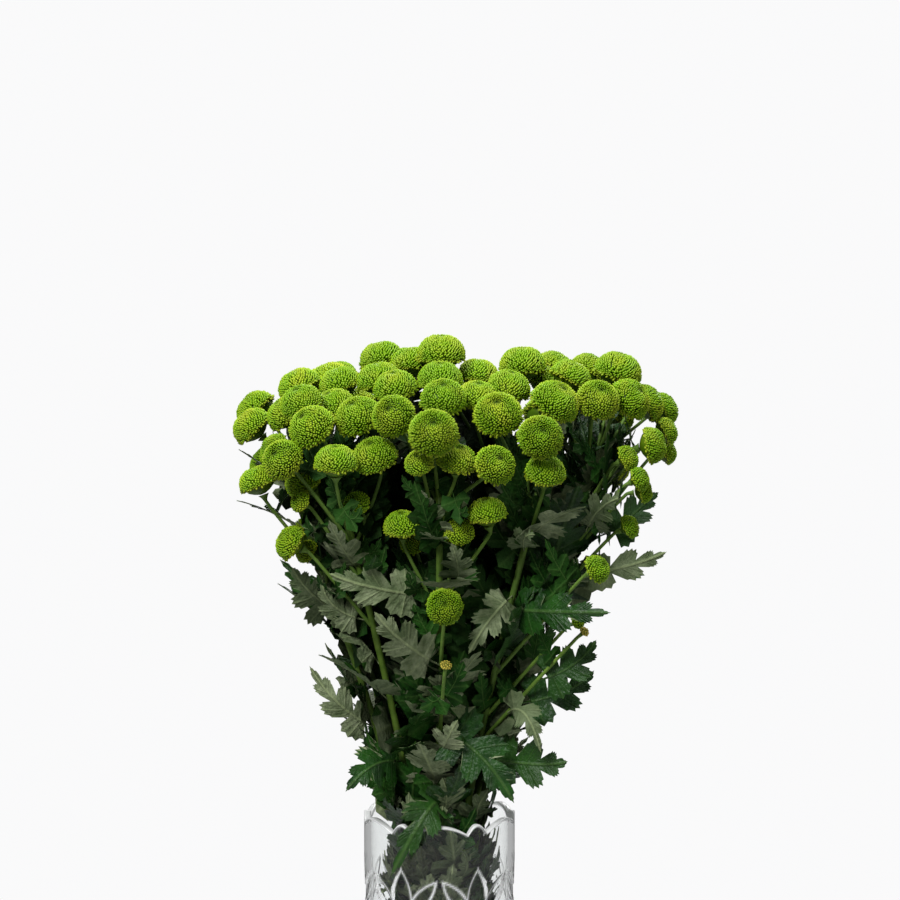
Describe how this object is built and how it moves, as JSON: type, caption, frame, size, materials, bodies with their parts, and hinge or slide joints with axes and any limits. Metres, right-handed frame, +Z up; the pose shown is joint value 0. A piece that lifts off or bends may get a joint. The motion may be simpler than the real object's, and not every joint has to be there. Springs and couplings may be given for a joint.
{
  "type": "chrysanthemums in a glass vase",
  "caption": "Bunch of lime green button chrysanthemum sprays with lobed leaves standing in a clear pressed glass vase with a scalloped rim.",
  "frame": {"origin": "centre of the vase's flat underside", "axes": "+Z up along the vase's axis, the side that the picture shows towards -Y"},
  "size_m": [0.3349, 0.2575, 0.5849],
  "materials": {
    "glass": "gloss",
    "water": "gloss",
    "foliage": "satin",
    "bloom": "matte",
    "bud": "matte"
  },
  "bodies": {
    "root": {"vase": "glass", "water": "water", "spray_01": "foliage", "spray_02": "foliage", "spray_03": "foliage", "spray_04": "foliage", "spray_05": "foliage", "spray_06": "foliage", "spray_07": "foliage", "spray_08": "foliage", "spray_09": "foliage", "spray_10": "foliage", "spray_11": "foliage", "spray_12": "foliage", "heads_01": "bloom", "heads_02": "bloom", "heads_03": "bloom", "heads_04": "bloom", "heads_05": "bloom", "heads_06": "bloom", "heads_07": "bloom", "heads_08": "bloom", "heads_09": "bloom", "heads_10": "bloom", "heads_11": "bloom", "heads_12": "bloom", "heads_13": "bloom", "heads_14": "bloom", "heads_15": "bloom", "heads_16": "bloom", "heads_17": "bloom", "heads_18": "bloom", "heads_19": "bloom", "heads_20": "bloom", "heads_21": "bloom", "heads_22": "bloom", "heads_23": "bloom", "heads_24": "bloom", "heads_25": "bloom", "heads_26": "bloom", "heads_27": "bloom", "heads_28": "bloom", "heads_29": "bloom", "heads_30": "bloom", "heads_31": "bloom", "heads_32": "bloom", "heads_33": "bloom", "heads_34": "bloom", "heads_35": "bloom", "heads_36": "bloom", "heads_37": "bloom", "heads_38": "bloom", "heads_39": "bloom", "heads_40": "bloom", "heads_41": "bloom", "heads_42": "bloom", "heads_43": "bloom", "bud_01": "bud", "bud_02": "bud"}
  },
  "joints": []
}
